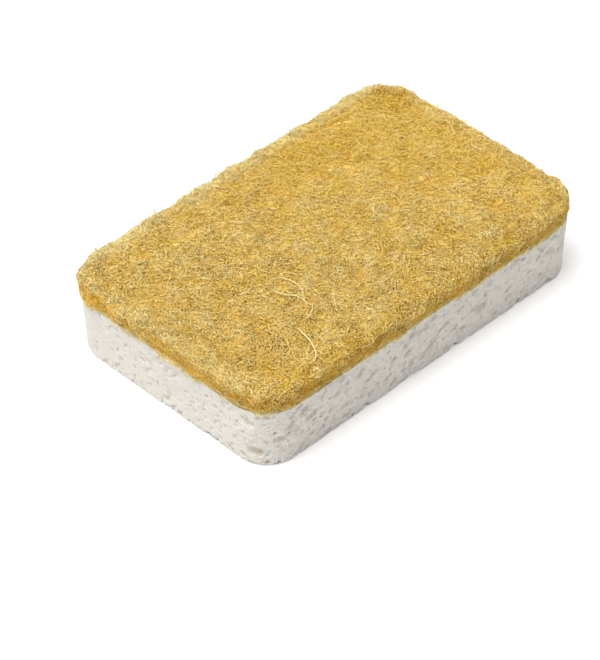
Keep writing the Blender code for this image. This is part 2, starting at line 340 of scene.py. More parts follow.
# Stage. Lamps are given by name, place, side, power in watts and colour.
WHITE = (1.0, 1.0, 1.0, 1.0)
FILL_LIGHT = 0.43  # how strongly the white surroundings light the object
FLOOR_LEVEL = -0.1 * MM
FLOOR_GREY = 0.8
FLOOR_GLOW = 0.3
LAMP_AIM = (0.0, 0.0, 0.01)
LAMPS = (
    ("key", (-0.38, 0.03, 1.12), 0.72, 11.2, (1.0, 0.97, 0.93)),
    ("top", (-0.15, 0.6, 1.6), 1.4, 11.5, (1.0, 1.0, 1.0)),
)
SENSOR_SIZE = 36.0
CLIP_START = 10 * MM


def lattice(ix, iy, iz, seed):
    """A repeatable number from 0 to 1 for each whole point, by multiplying and shifting its coordinates."""
    mixed = np.uint32(seed * LATTICE_SEED_STEP)
    for whole, factor in zip((ix, iy, iz), LATTICE_FACTORS):
        mixed = mixed + whole.astype(np.uint32) * np.uint32(factor)
    mixed = (mixed ^ (mixed >> np.uint32(13))) * np.uint32(LATTICE_SCRAMBLE)
    mixed = mixed ^ (mixed >> np.uint32(16))
    return mixed.astype(float) / 2**32


def soft_noise(points, cell, seed):
    """Smooth noise from -1 to 1: the lattice at a cell's eight corners, blended by t * t * (3 - 2 * t)."""
    scaled = points / cell
    base = np.floor(scaled)
    t = scaled - base
    t = t * t * (3 - 2 * t)
    base = base.astype(np.int64)
    total = np.zeros(len(points))
    for corner in np.ndindex(2, 2, 2):
        share = np.prod(np.where(corner, t, 1 - t), axis=1)
        total += share * lattice(*(base + corner).T, seed)
    return 2 * total - 1


def dents(points, length, breadth, seed):
    """Round dents of drawn sizes, from 0 at a dent's rim to 1 at its bottom, one to each slanted cell.

    The points are turned by the foam's slant and divided by the cell's sizes. Each whole cell holds one
    drawn centre and radius, and a dent's depth is 1 - (distance / radius) ** 2.
    """
    c, s = math.cos(PORE_SLANT), math.sin(PORE_SLANT)
    turned = points @ np.array([[c, 0, -s], [0, 1, 0], [s, 0, c]])
    scaled = turned / (length, breadth, breadth)
    base = np.floor(scaled).astype(np.int64)
    deepest = np.zeros(len(points))
    for step in np.ndindex(3, 3, 3):
        cell = base + np.array(step) - 1
        centre = cell + np.stack([lattice(*cell.T, seed + k) for k in range(3)], axis=1)
        radius = DENT_SMALLEST + DENT_SPREAD * lattice(*cell.T, seed + 3)
        share = np.linalg.norm(scaled - centre, axis=1) / radius
        deepest = np.maximum(deepest, 1 - share * share)
    return deepest


def mesh_object(name, points, quads, triangles, marks):
    """A smooth-shaded object from arrays of points, faces with four and three corners, and point marks."""
    mesh = bpy.data.meshes.new(name)
    corners = np.concatenate([quads.ravel(), triangles.ravel()]).astype(np.int32)
    sizes = np.concatenate([np.full(len(quads), 4), np.full(len(triangles), 3)])
    starts = np.concatenate([[0], np.cumsum(sizes)[:-1]]).astype(np.int32)
    mesh.vertices.add(len(points))
    mesh.vertices.foreach_set("co", points.astype(np.float32).ravel())
    mesh.loops.add(len(corners))
    mesh.loops.foreach_set("vertex_index", corners)
    mesh.polygons.add(len(sizes))
    mesh.polygons.foreach_set("loop_start", starts)
    for mark, values in marks.items():
        layer = mesh.attributes.new(mark, "FLOAT", "POINT")
        layer.data.foreach_set("value", values.astype(np.float32))
    mesh.update(calc_edges=True)
    mesh.shade_smooth()
    made = bpy.data.objects.new(name, mesh)
    bpy.context.scene.collection.objects.link(made)
    return made


def finish_piece(piece, material):
    """Gives the piece its material, and lets it ride on the object's one body."""
    piece.data.materials.append(material)
    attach(piece, "root")
    return piece


def outline(distance, length, width, radius):
    """Points and outward directions on a rounded rectangle at distances walked anticlockwise round it.

    The walk starts in the middle of the front left corner. Each side is a quarter circle, whose direction
    turns by distance over radius, and then a straight run.
    """
    quarter = math.pi * radius / 2
    runs = np.array([length, width, length, width]) - 2 * radius
    starts = np.concatenate([[0.0], np.cumsum(runs + quarter)])
    walked = np.mod(distance + quarter / 2, starts[-1])
    side = np.clip(np.searchsorted(starts, walked, side="right") - 1, 0, 3)
    past = walked - starts[side]
    heading = side * math.pi / 2
    turn = heading - math.pi / 2 + np.minimum(past, quarter) / radius
    out = np.stack([np.sin(turn), -np.cos(turn)], axis=-1)
    ahead = np.stack([np.cos(heading), np.sin(heading)], axis=-1)
    run = np.maximum(past - quarter, 0.0)
    signs = np.array([[-1, -1], [1, -1], [1, 1], [-1, 1]])[side]
    centres = signs * (np.array([length, width]) / 2 - radius)
    return centres + out * radius + ahead * run[..., None], out


def outline_length(length, width, radius):
    """The way round a rounded rectangle."""
    return 2 * (length + width) - (8 - 2 * math.pi) * radius


def cells_of(length, width, radius, cell):
    """How many cells of about this size fit along the front and round one short side with its corners."""
    along = round((length - 2 * radius) / cell)
    across = round((width - 2 * radius + math.pi * radius) / cell)
    return along, across


def ring_stations(length, width, radius, along, across):
    """Distances round the outline of the slab's ring of points, the front row first, anticlockwise."""
    quarter = math.pi * radius / 2
    front = length - 2 * radius
    side = width - 2 * radius + 2 * quarter
    ends = np.cumsum([quarter / 2, front, side, front, side])
    runs = zip(ends, ends[1:], (along, across, along, across))
    return np.concatenate([np.linspace(a, b, n, endpoint=False) for a, b, n in runs])


def slab_grid(length, width, radius, along, across):
    """A flat grid over a rounded rectangle: each row runs straight between two points of the short sides."""
    quarter = math.pi * radius / 2
    start = quarter / 2 + length - 2 * radius
    way = np.linspace(start, start + width - 2 * radius + 2 * quarter, across + 1)
    ends, _ = outline(way, length, width, radius)
    ends[0] = (length / 2 - radius, -width / 2)
    ends[-1] = (length / 2 - radius, width / 2)
    x = np.outer(ends[:, 0], np.linspace(-1, 1, along + 1))
    y = np.repeat(ends[:, 1:], along + 1, axis=1)
    return np.stack([x.ravel(), y.ravel()], axis=-1)


def slab(length, width, radius, profile, cell, finer):
    """A closed slab whose edge follows a profile: its points, their directions, and its faces.

    The profile lists (inset, height, turn) from the edge of the grid onwards: how far each ring lies inside
    the outline, its height, and the angle by which its direction rises above the horizontal. The grid lies
    at the first inset and height, and the last point is the middle of the far face. The rings past the
    first have finer times as many points, 1 or 2. Faces point outwards, whether the grid is the upper face
    or the lower one.
    """
    along, across = cells_of(length, width, radius, cell)
    inset, height, turn = profile[0]
    up = math.copysign(1.0, turn)
    flat = slab_grid(length - 2 * inset, width - 2 * inset, radius - inset, along, across)
    points = [np.column_stack([flat, np.full(len(flat), height)])]
    facing = [np.tile((0.0, 0.0, up), (len(flat), 1))]
    stations = ring_stations(length, width, radius, along * finer, across * finer)
    edge, out = outline(stations, length, width, radius)
    for inset, height, turn in profile[1:]:
        points.append(np.column_stack([edge - out * inset, np.full(len(edge), height)]))
        facing.append(np.column_stack([out * math.cos(turn), np.full(len(edge), math.sin(turn))]))
    points.append(np.array([[0.0, 0.0, profile[-1][1]]]))
    facing.append(np.array([[0.0, 0.0, -up]]))

    grid = np.arange(len(flat)).reshape(across + 1, along + 1)
    ring = np.concatenate([grid[0, :-1], grid[:-1, -1], grid[-1, :0:-1], grid[:0:-1, 0]])
    rows = len(profile) - 1
    walls = grid.size + np.arange(rows * len(edge)).reshape(rows, len(edge))
    quads = [np.stack([grid[:-1, :-1], grid[:-1, 1:], grid[1:, 1:], grid[1:, :-1]], axis=-1).reshape(-1, 4)]
    centre = np.full(len(edge), grid.size + walls.size)
    fans = [np.stack([walls[-1], centre, np.roll(walls[-1], -1)], axis=-1)]
    if finer == 1:
        walls = np.concatenate([ring[None], walls])
    else:
        first, middle = walls[0, ::2], walls[0, 1::2]
        after, ring_after = np.roll(first, -1), np.roll(ring, -1)
        fans.append(np.stack([first, middle, ring], axis=-1))
        fans.append(np.stack([middle, ring_after, ring], axis=-1))
        fans.append(np.stack([middle, after, ring_after], axis=-1))
    near, far = walls[:-1], walls[1:]
    near_next, far_next = np.roll(near, -1, axis=1), np.roll(far, -1, axis=1)
    quads.append(np.stack([far, far_next, near_next, near], axis=-1).reshape(-1, 4))
    quads, fans = np.concatenate(quads), np.concatenate(fans)
    if up < 0:
        quads, fans = quads[:, ::-1], fans[:, ::-1]
    return np.concatenate(points), np.concatenate(facing), quads, fans


class Pore:
    """An ellipsoid that opens on one face: its centre, its outward direction, its length and its slant."""

    def __init__(self, centre, outward, along, length, slant):
        self.centre = centre
        self.outward = outward
        self.along = along
        self.length = length
        self.slant = slant

    def clears(self, others):
        """True if a wall of foam is left between this pore and each of the others."""
        return all(
            (self.centre - o.centre).length > (self.length + o.length) / 2 + PORE_WALL for o in others
        )

    def axes(self):
        """The three half axes as rows: along the slant, across it and inwards."""
        across = self.outward.cross(self.along)
        turned = self.along * math.cos(self.slant) + across * math.sin(self.slant)
        third = self.outward.cross(turned)
        half = self.length / 2
        return np.array([turned * half, third * half * PORE_BREADTH, self.outward * self.length * PORE_DEPTH])


def wall_pore(distance, height, length, slant):
    """A pore in the leaning side wall."""
    point, out = outline(np.array([distance]), LENGTH, WIDTH, CORNER_RADIUS)
    point, out = Vector(point[0]), Vector(out[0])
    lean = WALL_LEAN * (1 - height / SEAM)
    centre = point - out * (lean - length * PORE_PROUD)
    along = Vector((-out.y, out.x, 0.0))
    return Pore(Vector((*centre, height)), Vector((*out, 0.0)), along, length, slant)


def drawn_length(draw, shortest, longest):
    """A pore's length: most are near the shortest, and few are near the longest."""
    return shortest + (longest - shortest) * draw.random() ** 2


def drawn_slant(draw):
    """A slant near that of the foam."""
    return PORE_SLANT + draw.uniform(-SLANT_SPREAD, SLANT_SPREAD)


def drawn_wall_pore(draw):
    """A pore anywhere on the side walls, clear of the glued face."""
    length = drawn_length(draw, PORE_SHORTEST, PORE_LONGEST)
    distance = draw.uniform(0, outline_length(LENGTH, WIDTH, CORNER_RADIUS))
    height = draw.uniform(length / 2, SEAM - SEAM_CLEARANCE - length / 2)
    pore = wall_pore(distance, height, length, drawn_slant(draw))
    if pore.outward.x < CALM_FACING and length > CALM_LONGEST:
        return None
    return pore


def drawn_rim_pore(draw):
    """A pore that the lower edge cuts through, which leaves that edge ragged."""
    length = drawn_length(draw, PORE_SHORTEST, PORE_LONGEST)
    distance = draw.uniform(0, outline_length(LENGTH, WIDTH, CORNER_RADIUS))
    return wall_pore(distance, RIM_PORE_HEIGHT, length, drawn_slant(draw))


def drawn_underside_pore(draw):
    """A pore in the underside, away from its edges and from the middle."""
    length = drawn_length(draw, PORE_SHORTEST, PORE_LONGEST)
    margin = CORNER_RADIUS / 2 + length
    x = draw.uniform(-1, 1) * (LENGTH / 2 - margin)
    y = draw.uniform(-1, 1) * (WIDTH / 2 - margin)
    if math.hypot(x, y) < REST_CLEARANCE:
        return None
    centre = Vector((x, y, -length * PORE_PROUD))
    turn = draw.uniform(0, math.pi)
    return Pore(centre, Vector((0, 0, -1)), Vector((1, 0, 0)), length, turn)


def add_drawn_pores(pores, draw, make, wanted):
    """Adds as many drawn pores as wanted, none of which touches another."""
    made = 0
    for _ in range(PORE_DRAWS):
        if made == wanted:
            break
        pore = make(draw)
        if pore and pore.clears(pores):
            pores.append(pore)
            made += 1


def block_pores():
    """Every pore of the block."""
    pores = [
        wall_pore(distance * MM, height * MM, length * MM, math.radians(slant))
        for distance, height, length, slant in MARKED_PORES
    ]
    draw = random.Random(PORE_SEED)
    add_drawn_pores(pores, draw, drawn_rim_pore, RIM_PORES)
    add_drawn_pores(pores, draw, drawn_wall_pore, WALL_PORES)
    add_drawn_pores(pores, draw, drawn_underside_pore, UNDERSIDE_PORES)
    return pores


def sunk_depths(points, facing, pores):
    """How far each point sinks, against its facing, before it meets the wall of the pore that holds it.

    With the pore turned into a unit ball, a point p that sinks along d meets it at the larger root t of
    |p + t * d| = 1.
    """
    depths = np.zeros(len(points))
    for pore in pores:
        reach = pore.length * PORE_REACH
        near = np.flatnonzero(np.all(np.abs(points - np.array(pore.centre)) < reach, axis=1))
        to_ball = np.linalg.inv(pore.axes().T)
        p = (points[near] - np.array(pore.centre)) @ to_ball.T
        d = -facing[near] @ to_ball.T
        a = np.sum(d * d, axis=1)
        b = np.sum(p * d, axis=1)
        c = np.sum(p * p, axis=1) - 1
        inside = c < 0
        near, a, b, c = near[inside], a[inside], b[inside], c[inside]
        root = (-b + np.sqrt(b * b - a * c)) / a
        depths[near] = np.maximum(depths[near], root)
    return depths


def block_profile():
    """The block's edge from the underside up: a quarter-round foot, a leaning wall and the glued face."""
    foot = [
        (WALL_LEAN + FOOT_ROUNDING * (1 - math.cos(t)), FOOT_ROUNDING * (1 + math.sin(t)), t)
        for t in np.linspace(-math.pi / 2, 0, FOOT_RINGS)
    ]
    climb = np.linspace(FOOT_ROUNDING, SEAM, WALL_ROWS)[1:]
    wall = [(WALL_LEAN * (1 - z / SEAM), z, 0.0) for z in climb]
    glued = [(inset, SEAM, math.pi / 2) for inset in SEAM_RINGS]
    return foot + wall + glued


def cut_surface(points, facing):
    """Depth of the foam's own cells at each point: shallow on the calm wall and deep along the foot."""
    lively = np.clip((facing[:, 0] + CALM_TURN) / CALM_FADE, 0, 1)
    share = CALM_SHARE + (1 - CALM_SHARE) * lively
    foot = np.clip(1 - points[:, 2] / RAGGED_FOOT, 0, 1) * (facing[:, 2] > -LEVEL)
    share = share + (RAGGED_DEPTH - share) * foot
    total = np.zeros(len(points))
    for seed, length, breadth, depth in SURFACE_CELLS:
        total += dents(points, length, breadth, seed) * depth
    return total * share


def build_foam_block(settings):
    """The cellulose block: a slab with its grid on the underside, sunk at each pore and cell."""
    points, facing, quads, fans = slab(LENGTH, WIDTH, CORNER_RADIUS, block_profile(), BLOCK_CELL, 2)
    open_wall = np.clip((SEAM - points[:, 2]) / SEALED_STRIP, 0, 1) * (facing[:, 2] < SLOPE)
    pores = sunk_depths(points, facing, block_pores()) * settings.pore_depth
    cells = cut_surface(points, facing) * open_wall
    walls = open_wall * (facing[:, 2] > -SLOPE)
    swell = soft_noise(points, SWELL_CELL, SWELL_SEED) * settings.unevenness * walls
    depth = np.maximum(pores, cells) + SHALLOWER_SHARE * np.minimum(pores, cells)
    points = points + facing * (swell - depth)[:, None]
    block = mesh_object("cellulose_foam", points, quads, fans, {"pit": depth / MM})
    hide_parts("cellulose_sponge")
    return finish_piece(block, foam_material(settings))


def on_mat(flat, lift):
    """Carries points of the unrolled mat to the real one, with their outward directions.

    Inside the flat top a point keeps its place. Past its edge by e, it rounds the edge by the angle
    e / rounding and then goes straight down the side. Lift is its height above the surface.
    """
    half = np.array([LENGTH, WIDTH]) / 2 + MAT_OVERHANG - MAT_ROUNDING
    radius = MAT_CORNER - MAT_ROUNDING
    past = np.abs(flat) - (half - radius)
    outside = np.maximum(past, 0.0)
    span = np.linalg.norm(outside, axis=-1)
    e = span + np.minimum(past.max(axis=-1), 0.0) - radius
    out = np.sign(flat) * outside / np.maximum(span, 1e-9)[..., None]
    e = np.maximum(e, 0.0)
    angle = np.minimum(e / MAT_ROUNDING, math.pi / 2)
    drop = np.maximum(e - MAT_ROUNDING * math.pi / 2, 0.0)
    sideways = MAT_ROUNDING * np.sin(angle) - e
    xy = flat + out * sideways[..., None]
    z = MAT_TOP - MAT_ROUNDING * (1 - np.cos(angle)) - drop
    points = np.concatenate([xy, z[..., None]], axis=-1)
    facing = np.concatenate([out * np.sin(angle)[..., None], np.cos(angle)[..., None]], axis=-1)
    rise = lift + tufts(points) - tuck(z)
    return points + facing * rise[..., None], facing


def tuck(height):
    """How far the mat's side draws in at a height, which is nothing above the strip next to the seam."""
    return SEAM_TUCK * np.clip(1 - (height - SEAM) / SEAM_TUCK_HEIGHT, 0, 1)


def tufts(points):
    """The mat's relief: tufts at two scales, higher round its edge than on top."""
    flat = points.reshape(-1, 3)
    coarse = soft_noise(flat, TUFT_CELL, TUFT_SEED) * TUFT_HEIGHT
    fine = soft_noise(flat, FINE_TUFT_CELL, FINE_TUFT_SEED) * FINE_TUFT_HEIGHT
    rim = np.clip((MAT_TOP - flat[:, 2]) / MAT_ROUNDING, 0, 1)
    return ((coarse + fine) * (1 + RIM_TUFTS * rim)).reshape(points.shape[:-1])


def mat_profile():
    """The mat's edge from the top down: a rounded edge, a straight side and the glued face."""
    rounding = [
        (MAT_ROUNDING * (1 - math.cos(t)), MAT_TOP - MAT_ROUNDING * (1 - math.sin(t)), t)
        for t in np.linspace(math.pi / 2, 0, EDGE_RINGS)
    ]
    foot = SEAM + MAT_FOOT_GAP
    side = [(tuck(z), z, 0.0) for z in np.linspace(MAT_TOP - MAT_ROUNDING, foot, MAT_SIDE_ROWS)[1:]]
    glued = [(inset, foot, -math.pi / 2) for inset in SEAM_RINGS]
    return rounding + side + glued


def build_mat_body(settings):
    """The matted body of the mat: a slab with its grid on top, under the fibres' level."""
    points, facing, quads, fans = slab(MAT_LENGTH, MAT_WIDTH, MAT_CORNER, mat_profile(), MAT_CELL, 1)
    grain = soft_noise(points, GRAIN_CELL, GRAIN_SEED) * GRAIN_HEIGHT
    glued = points[:, 2] <= SEAM + MAT_FOOT_GAP
    sink = CORE_SINK * np.where(facing[:, 2] < SLOPE, SIDE_SINK, 1.0)
    rise = np.where(glued, 0.0, tufts(points) + grain - sink)
    points = points + facing * rise[:, None]
    body = mesh_object("mat_body", points, quads, fans, {})
    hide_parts("scouring_pad")
    return finish_piece(body, mat_body_material(settings))


def tubes(paths, radii, aside):
    """Closed three-sided tubes along paths, each ring set square to its path.

    Paths are (fibre, point, 3), radii (fibre, point) and aside (fibre, 3), a direction that no path follows.
    """
    count, steps, _ = paths.shape
    ahead = np.gradient(paths, axis=1)
    ahead /= np.linalg.norm(ahead, axis=-1, keepdims=True)
    across = np.cross(ahead, aside[:, None, :])
    across /= np.linalg.norm(across, axis=-1, keepdims=True)
    over = np.cross(ahead, across)
    angles = 2 * math.pi * np.arange(FIBRE_SIDES) / FIBRE_SIDES
    spokes = across[:, :, None, :] * np.cos(angles)[:, None] + over[:, :, None, :] * np.sin(angles)[:, None]
    points = paths[:, :, None, :] + spokes * radii[:, :, None, None]
    number = np.arange(count * steps * FIBRE_SIDES).reshape(count, steps, FIBRE_SIDES)
    turned = np.roll(number, -1, axis=2)
    sides = np.stack([number[:, :-1], turned[:, :-1], turned[:, 1:], number[:, 1:]], axis=-1)
    ends = np.concatenate([number[:, 0, ::-1], number[:, -1]])
    return points.reshape(-1, 3), sides.reshape(-1, 4), ends


def fibre_object(name, paths, radii, tone, draw, material):
    """A piece of many fibres. Tone, from 0, dark, to 1, pale, is given by fibre or by each of its points."""
    aside = draw.normal(size=(len(paths), 3))
    points, sides, ends = tubes(paths, radii, aside)
    tones = np.clip(tone.reshape(len(paths), -1) * np.ones(paths.shape[1]), 0, 1)
    marks = {"tone": np.repeat(tones.reshape(-1), FIBRE_SIDES)}
    piece = mesh_object(name, points, sides, ends, marks)
    return finish_piece(piece, material)


def curled(draw, count, reach, curl):
    """Flat curls about the origin: the heading of each turns evenly along it, with a drawn wave on top."""
    step = np.linspace(-0.5, 0.5, FIBRE_POINTS)
    start = draw.uniform(0, 2 * math.pi, (count, 1))
    bend = draw.normal(0, curl, (count, 1))
    wave = draw.normal(0, curl * WAVE_SHARE, (count, 1))
    heading = start + bend * step + wave * np.sin(2 * math.pi * step + start * 3)
    ahead = np.stack([np.cos(heading), np.sin(heading)], axis=-1)
    path = np.cumsum(ahead * (reach / (FIBRE_POINTS - 1))[:, None, None], axis=1)
    return path - path.mean(axis=1, keepdims=True)


def bowed(draw, count, low, high):
    """Lifts along each fibre: a drawn level, tilted, less a bow that sinks both of its ends."""
    step = np.linspace(-1, 1, FIBRE_POINTS)
    level = draw.uniform(low, high, (count, 1))
    tilt = draw.uniform(-FIBRE_BOW / 2, FIBRE_BOW / 2, (count, 1))
    return level + tilt * step - draw.uniform(0, FIBRE_BOW, (count, 1)) * step**2


def tapered(draw, count, thinnest, thickest):
    """Radii along each fibre, a little thinner at its ends."""
    step = np.linspace(-1, 1, FIBRE_POINTS)
    return draw.uniform(thinnest, thickest, (count, 1)) * (1 - END_THINNING * step**4)


def unrolled_half():
    """Half the length and width of the mat with its sides laid flat."""
    side = MAT_TOP - MAT_ROUNDING - SEAM
    grown = MAT_OVERHANG - MAT_ROUNDING + MAT_ROUNDING * math.pi / 2 + side
    return np.array([LENGTH, WIDTH]) / 2 + grown


def drawn_places(draw, count):
    """Places spread over the unrolled mat, without its cut-off corners."""
    half = unrolled_half()
    corner = MAT_CORNER - MAT_OVERHANG + half[0] - LENGTH / 2
    places = draw.uniform(-1, 1, (2 * count, 2)) * half
    past = np.maximum(np.abs(places) - (half - corner), 0.0)
    return places[np.linalg.norm(past, axis=1) < corner][:count]


def above_seam(paths, draw):
    """The paths folded upwards at a line that wanders about the seam, lower for a few fibres than most."""
    paths = paths.copy()
    floor = SEAM - SEAM_START + soft_noise(paths.reshape(-1, 3), SEAM_CELL, SEAM_SEED) * SEAM_WANDER
    floor = floor.reshape(paths.shape[:-1]) - draw.exponential(SEAM_FRINGE, (len(paths), 1))
    paths[..., 2] = floor + np.abs(paths[..., 2] - floor)
    return paths


def build_top_fibres(settings):
    """Fibres felted into the mat, in a few pieces, from the deepest and darkest to the palest on top. The
    darkness of the depth is partly painted shade, and each fibre is paler on crests and where it lies high.
    """
    material = fibre_material(settings)
    for index in range(settings.top_layers):
        draw = np.random.default_rng(FIBRE_SEED + index)
        count = settings.layer_fibres
        height = index / max(1, settings.top_layers - 1)
        reach = draw.uniform(FELT_SHORTEST, FELT_LONGEST + FELT_LONGEST_GAIN * height, count) * MM
        flat = curled(draw, count, reach, FELT_CURL) + drawn_places(draw, count)[:, None, :]
        low = (FELT_LEVEL + FELT_LEVEL_GAIN * height) * MM
        lift = bowed(draw, count, low, low + FELT_LEVEL_SPREAD)
        paths, _ = on_mat(flat, lift)
        radii = tapered(draw, count, settings.thinnest / 2, settings.thickest / 2)
        tone = draw.normal(FELT_TONE + FELT_TONE_GAIN * height, TONE_SPREAD, (count, 1))
        # Painted light and shade: paler on the tufts' crests and where the fibre lies high, darker and warmer
        # below
        tone = tone + np.clip(tufts(paths) / TUFT_HEIGHT, -1, 1) * CREST_LIGHT_TONE
        tone = tone + np.clip((lift - low) / FIBRE_BOW, -1, 1) * LIFT_SHADE_TONE
        name = f"mat_fibres_{index + 1}"
        fibre_object(name, above_seam(paths, draw), radii, tone, draw, material)


def build_side_fibres(settings):
    """Fibres that lie along the mat's cut side, in the direction of its layers."""
    draw = np.random.default_rng(SIDE_SEED)
    count = settings.side_fibres
    sizes = (MAT_LENGTH, MAT_WIDTH, MAT_CORNER)
    reach = draw.uniform(SIDE_SHORTEST, SIDE_LONGEST, count) * MM
    curls = curled(draw, count, reach, SIDE_CURL) * SIDE_FLATNESS
    distance = curls[..., 0] + draw.uniform(0, outline_length(*sizes), (count, 1))
    height = np.minimum(curls[..., 1] + draw.uniform(SIDE_LOW, SIDE_HIGH, (count, 1)), MAT_TOP)
    edge, out = outline(distance, *sizes)
    over = np.clip((height - (MAT_TOP - MAT_ROUNDING)) / MAT_ROUNDING, 0, 1)
    inset = MAT_ROUNDING * (1 - np.sqrt(1 - over**2))
    lift = bowed(draw, count, *SIDE_LEVELS)
    base = np.concatenate([edge, height[..., None]], axis=-1)
    lift = lift + tufts(base) - inset - tuck(height)
    paths = np.concatenate([edge + out * lift[..., None], height[..., None]], axis=-1)
    radii = tapered(draw, count, settings.thinnest / 2, settings.thickest / 2)
    tone = draw.normal(SIDE_TONE, SIDE_TONE_SPREAD, count)
    fibre_object("mat_side_fibres", above_seam(paths, draw), radii, tone, draw, fibre_material(settings))


def rim_places(draw, count):
    """Places on the unrolled mat spread along a band inside and over its rounded edge."""
    sizes = (MAT_LENGTH - 2 * MAT_ROUNDING, MAT_WIDTH - 2 * MAT_ROUNDING, MAT_CORNER - MAT_ROUNDING)
    edge, out = outline(draw.uniform(0, outline_length(*sizes), count), *sizes)
    return edge + out * draw.uniform(*RIM_BAND, (count, 1))


def build_loose_fibres(settings):
    """Thin fibres that stand free of the mat: long threads over its top and short ones along its edge.

    The threads and every second short one rise as arches, and the others by one end. With the way along a
    fibre from 0 to 1, an arch rises by 4 * way * (1 - way) and a free end by the way's square.
    """
    draw = np.random.default_rng(LOOSE_SEED)
    places = np.concatenate(
        [drawn_places(draw, settings.loose_fibres), rim_places(draw, settings.rim_fibres)]
    )
    number = np.arange(len(places))
    count = len(places)
    threads = number < settings.loose_fibres
    reach = draw.uniform(LOOSE_SHORTEST, LOOSE_LONGEST, count) * np.where(threads, THREAD_LENGTH, 1.0) * MM
    flat = curled(draw, count, reach, LOOSE_CURL) + places[:, None, :]
    flat_places = np.column_stack([places, np.zeros(count)])
    clumps = CLUMP_MEAN + CLUMP_SWAY * soft_noise(flat_places, CLUMP_CELL, CLUMP_SEED)
    away = places[:, 0] / LENGTH + places[:, 1] / WIDTH
    clumps *= np.clip(FAR_RISE + FAR_RISE_GAIN * away, *FAR_RISE_LIMITS)
    rise = np.clip(np.abs(draw.normal(0.0, LOOSE_RISE, count)) * clumps, *RISE_LIMITS) * MM
    rise *= np.where(threads, THREAD_RISE, 1.0)
    arched = (threads | (number % 2 == 1))[:, None]
    way = np.linspace(0, 1, FIBRE_POINTS)
    lift = rise[:, None] * np.where(arched, 4 * way * (1 - way), way**2) - LOOSE_ROOT
    paths, _ = on_mat(flat, lift)
    radii = tapered(draw, count, *(share * settings.thinnest for share in LOOSE_RADII))
    tone = draw.normal(LOOSE_TONE, TONE_SPREAD, (count, 1)) + threads[:, None] * THREAD_TONE
    # Painted shade: darker near the mat, paler where the fibre rises into the light
    tone = tone + lift / SHADE_FADE_RISE
    fibre_object("mat_loose_fibres", above_seam(paths, draw), radii, tone, draw, fibre_material(settings))


def smooth_path(corners, count):
    """Points evenly spread along a Catmull-Rom curve through a few corners."""
    held = np.array([2 * corners[0] - corners[1], *corners, 2 * corners[-1] - corners[-2]])
    way = np.linspace(0, len(corners) - 1, count)
    part = np.minimum(way.astype(int), len(corners) - 2)
    t = (way - part)[:, None]
    a, b, c, d = (held[part + k] for k in range(4))
    return 0.5 * (2 * b + (c - a) * t + (2 * a - 5 * b + 4 * c - d) * t**2 + (3 * b - a - 3 * c + d) * t**3)


def build_stray_fibres(settings):
    """The long fibres that stand out on the mat, each laid through a few given places."""
    flat = np.stack([smooth_path(np.array(places) * MM, STRAY_POINTS) for _, _, places in STRAY_FIBRES])
    way = np.linspace(-1, 1, STRAY_POINTS)
    lift = STRAY_LIFT * (1 - way**4)
    paths, _ = on_mat(flat, np.tile(lift, (len(flat), 1)))
    thickness = np.array([width for width, _, _ in STRAY_FIBRES]) * MM
    radii = thickness[:, None] / 2 * (1 - STRAY_THINNING * way**6)
    tone = np.array([tone for _, tone, _ in STRAY_FIBRES])
    draw = np.random.default_rng(STRAY_SEED)
    fibre_object("mat_stray_fibres", paths, radii, tone, draw, fibre_material(settings))


class Value:
    """A number travelling between shader nodes. Arithmetic on it adds Math nodes."""

    def __init__(self, shader, socket):
        self.shader = shader
        self.socket = socket

    def __add__(self, other):
        return self.shader.maths("ADD", self, other)

    def __radd__(self, other):
        return self.shader.maths("ADD", other, self)

    def __sub__(self, other):
        return self.shader.maths("SUBTRACT", self, other)

    def __rsub__(self, other):
        return self.shader.maths("SUBTRACT", other, self)

    def __mul__(self, other):
        return self.shader.maths("MULTIPLY", self, other)

    def __rmul__(self, other):
        return self.shader.maths("MULTIPLY", other, self)


